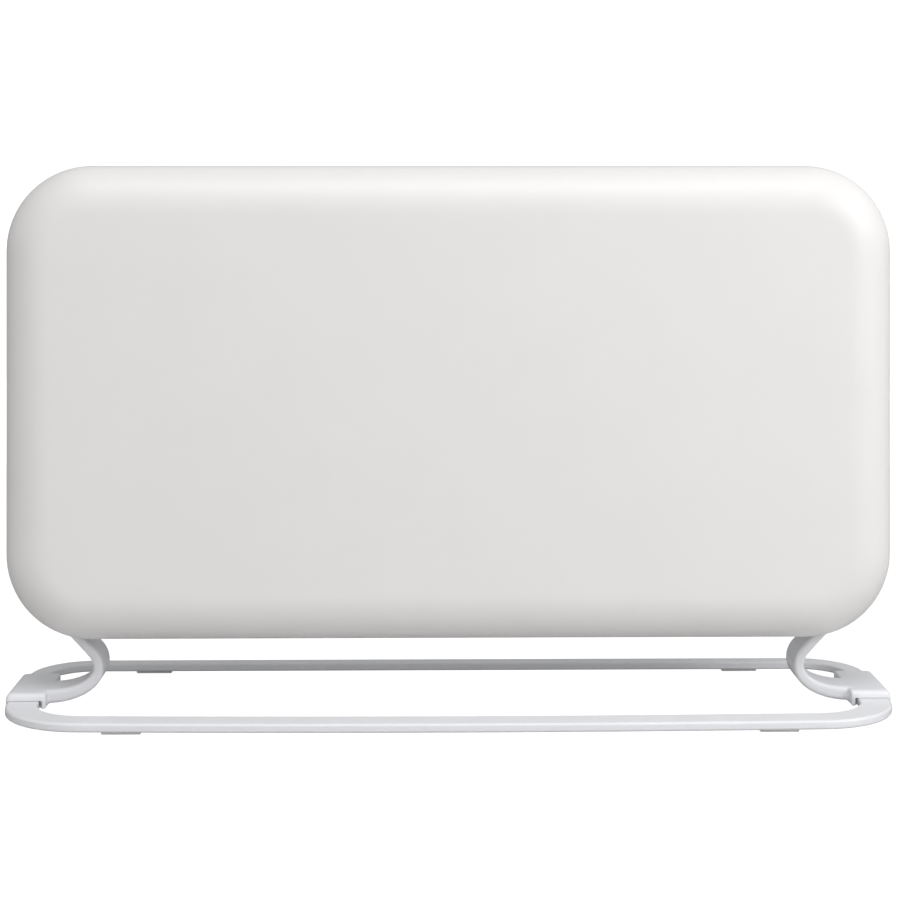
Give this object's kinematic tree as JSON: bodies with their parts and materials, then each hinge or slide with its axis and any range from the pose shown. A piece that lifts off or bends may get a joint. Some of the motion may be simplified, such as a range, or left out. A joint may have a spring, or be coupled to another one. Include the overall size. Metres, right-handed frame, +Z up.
{
  "type": "convector heater",
  "caption": "Free-standing electric convector heater: pillow-edged white case on ribbon feet and a floor tube loop, with louvred grilles, sloping key panel and power rocker at the back.",
  "frame": {"origin": "on the floor, at the centre of the floor tube loop", "axes": "+X along the case to the heater's right as seen from the front, +Y from front to back, +Z up; the front faces -Y"},
  "size_m": [0.701, 0.22, 0.4315],
  "materials": {
    "powder_coat": "smooth satin white powder coat",
    "moulded_white": "fine-grained white moulding",
    "cast_white": "satin white enamel",
    "zinc_sheet": "zinc-plated sheet",
    "aluminium": "plain mill finish",
    "ceramic": "unglazed",
    "board": "green solder mask",
    "black_plastic": "fine-grained black moulding",
    "grey_plastic": "satin grey moulding",
    "smoked_window": "polished smoked window",
    "rubber": "matt white rubber",
    "lead": "silicone sleeve",
    "steel_screw": "zinc-plated"
  },
  "bodies": {
    "heater": {"bottom_rail": "zinc_sheet", "bracket_screw_inner_left": "steel_screw", "bracket_screw_inner_right": "steel_screw", "bracket_screw_outer_left": "steel_screw", "bracket_screw_outer_right": "steel_screw", "chassis_post_left": "zinc_sheet", "chassis_post_right": "zinc_sheet", "control_board": "board", "control_fascia": "moulded_white", "cord_gland": "black_plastic", "display_module": "black_plastic", "display_window": "smoked_window", "element_bush_left": "ceramic", "element_bush_right": "ceramic", "element_hanger_left": "zinc_sheet", "element_hanger_right": "zinc_sheet", "floor_pad_front_left": "rubber", "floor_pad_front_right": "rubber", "floor_pad_rear_left": "rubber", "floor_pad_rear_right": "rubber", "foot_bracket_left": "cast_white", "foot_bracket_right": "cast_white", "front_baffle": "aluminium", "front_floor_tube": "cast_white", "front_shell": "powder_coat", "heating_element": "aluminium", "intake_grille": "moulded_white", "mains_lead": "lead", "outlet_grille": "moulded_white", "partition": "zinc_sheet", "power_board": "board", "rear_baffle": "aluminium", "rear_floor_tube": "cast_white", "rear_shell": "moulded_white", "relay": "black_plastic", "rocker_frame": "black_plastic", "room_sensor": "grey_plastic", "shell_screw_bottom_left": "steel_screw", "shell_screw_bottom_right": "steel_screw", "shell_screw_middle_left": "steel_screw", "shell_screw_middle_right": "steel_screw", "shell_screw_top_left": "steel_screw", "shell_screw_top_right": "steel_screw", "terminal_block": "ceramic", "thermal_cutout": "ceramic", "tilt_pin": "steel_screw", "tilt_switch_case": "grey_plastic", "top_rail": "zinc_sheet", "tube_screw_front_left": "steel_screw", "tube_screw_front_right": "steel_screw", "tube_screw_rear_left": "steel_screw", "tube_screw_rear_right": "steel_screw"},
    "minus_key": {"minus_button": "grey_plastic"},
    "plus_key": {"plus_button": "grey_plastic"},
    "mode_key": {"mode_button": "grey_plastic"},
    "rocker": {"power_rocker": "black_plastic"},
    "pendulum": {"tilt_pendulum": "steel_screw"}
  },
  "joints": [
    {"name": "minus_press", "type": "slide", "parent": "heater", "child": "minus_key", "axis": [0, -0.6428, -0.766], "range_m": [0, 0.001], "stiffness_N_per_m": 1200, "springref_m": -0.0006},
    {"name": "plus_press", "type": "slide", "parent": "heater", "child": "plus_key", "axis": [0, -0.6428, -0.766], "range_m": [0, 0.001], "stiffness_N_per_m": 1200, "springref_m": -0.0006},
    {"name": "mode_press", "type": "slide", "parent": "heater", "child": "mode_key", "axis": [0, -0.6428, -0.766], "range_m": [0, 0.001], "stiffness_N_per_m": 1200, "springref_m": -0.0006},
    {"name": "rocker_tilt", "type": "hinge", "parent": "heater", "child": "rocker", "pos_m": [0.262, 0.017, 0.1485], "axis": [1, 0, 0], "range_deg": [0, 16]},
    {"name": "pendulum_swing", "type": "hinge", "parent": "heater", "child": "pendulum", "pos_m": [0.235, -0.031, 0.1032], "axis": [0, 1, 0], "range_deg": [-16, 16]}
  ]
}
